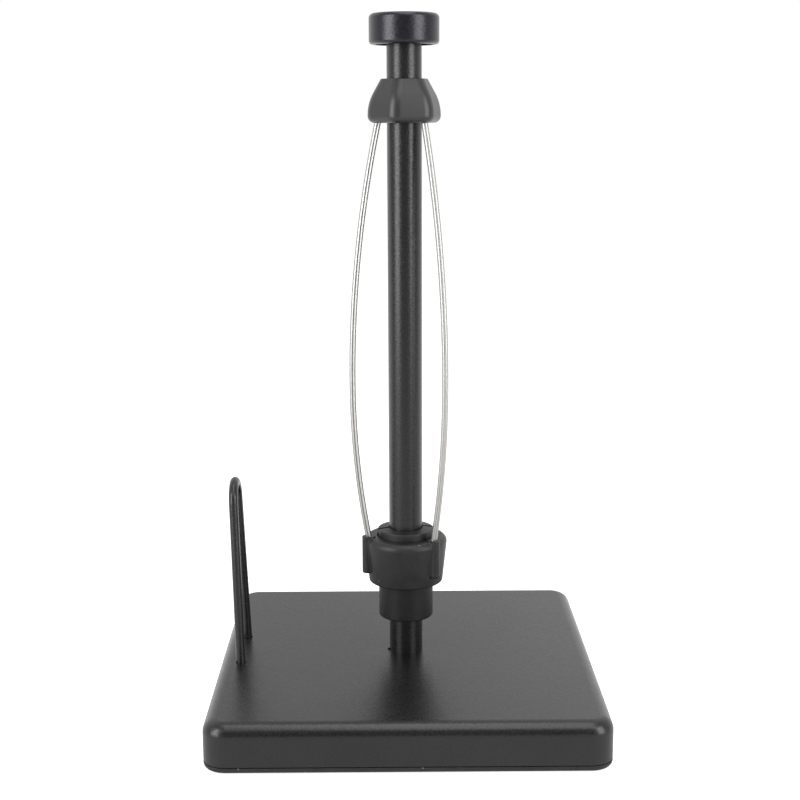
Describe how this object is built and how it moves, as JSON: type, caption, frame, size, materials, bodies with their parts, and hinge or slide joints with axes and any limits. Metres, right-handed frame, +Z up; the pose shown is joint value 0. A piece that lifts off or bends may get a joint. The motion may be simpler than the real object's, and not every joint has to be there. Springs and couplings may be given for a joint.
{
  "type": "paper towel holder",
  "caption": "Countertop paper towel holder: weighted square base, post with knob, a turning cage of bowed spring wires that grips the roll core, and a side loop for the paper edge.",
  "frame": {"origin": "centre of the footprint, on the table", "axes": "+Z up along the post, -Y towards the front, the side loop at -X"},
  "size_m": [0.18, 0.18, 0.3251],
  "materials": {
    "powder_coat": "satin black powder coat, fine grain",
    "knob_coat": "satin black paint",
    "moulded_black": "fine-textured moulded plastic",
    "soft_black": "smooth matte moulded plastic",
    "spring_steel": "polished stainless spring wire",
    "zinc_steel": "bright zinc plate",
    "weight_steel": "plain hot-rolled steel",
    "rubber_black": "matte rubber"
  },
  "bodies": {
    "stand": {"base_cover": "powder_coat", "base_weight": "weight_steel", "bottom_plate": "moulded_black", "plate_screws": "zinc_steel", "foot_front_left": "rubber_black", "foot_front_right": "rubber_black", "foot_back_left": "rubber_black", "foot_back_right": "rubber_black", "post": "powder_coat", "foot_insert": "zinc_steel", "post_bolt": "zinc_steel", "bolt_washer": "zinc_steel", "lock_washer": "zinc_steel", "top_insert": "zinc_steel", "knob_stud": "zinc_steel", "knob": "knob_coat", "spring_cup": "moulded_black", "cup_screw": "zinc_steel", "click_spring": "spring_steel", "keeper_front": "moulded_black", "keeper_back": "moulded_black", "side_loop": "powder_coat", "loop_washers": "zinc_steel", "loop_nuts": "zinc_steel"},
    "cage": {"wire_collar": "moulded_black", "spring_wire_left": "spring_steel", "spring_wire_right": "spring_steel", "spring_wire_back": "spring_steel"},
    "bell": {"top_bell": "soft_black"},
    "clicker": {"click_ring": "moulded_black"}
  },
  "joints": [
    {"name": "cage_spin", "type": "hinge", "parent": "stand", "child": "cage", "pos_m": [0, 0, 0.07], "axis": [0, 0, 1], "continuous": true},
    {"name": "bell_slide", "type": "slide", "parent": "cage", "child": "bell", "axis": [0, 0, 1], "range_m": [-0.0005, 0.0012], "stiffness_N_per_m": 2000, "deforming": ["spring_wire_left", "spring_wire_right", "spring_wire_back"]},
    {"name": "click_drop", "type": "slide", "parent": "stand", "child": "clicker", "axis": [0, 0, 1], "range_m": [-0.0007, 0], "stiffness_N_per_m": 1500, "springref_m": 0.002, "deforming": ["click_spring"]}
  ]
}
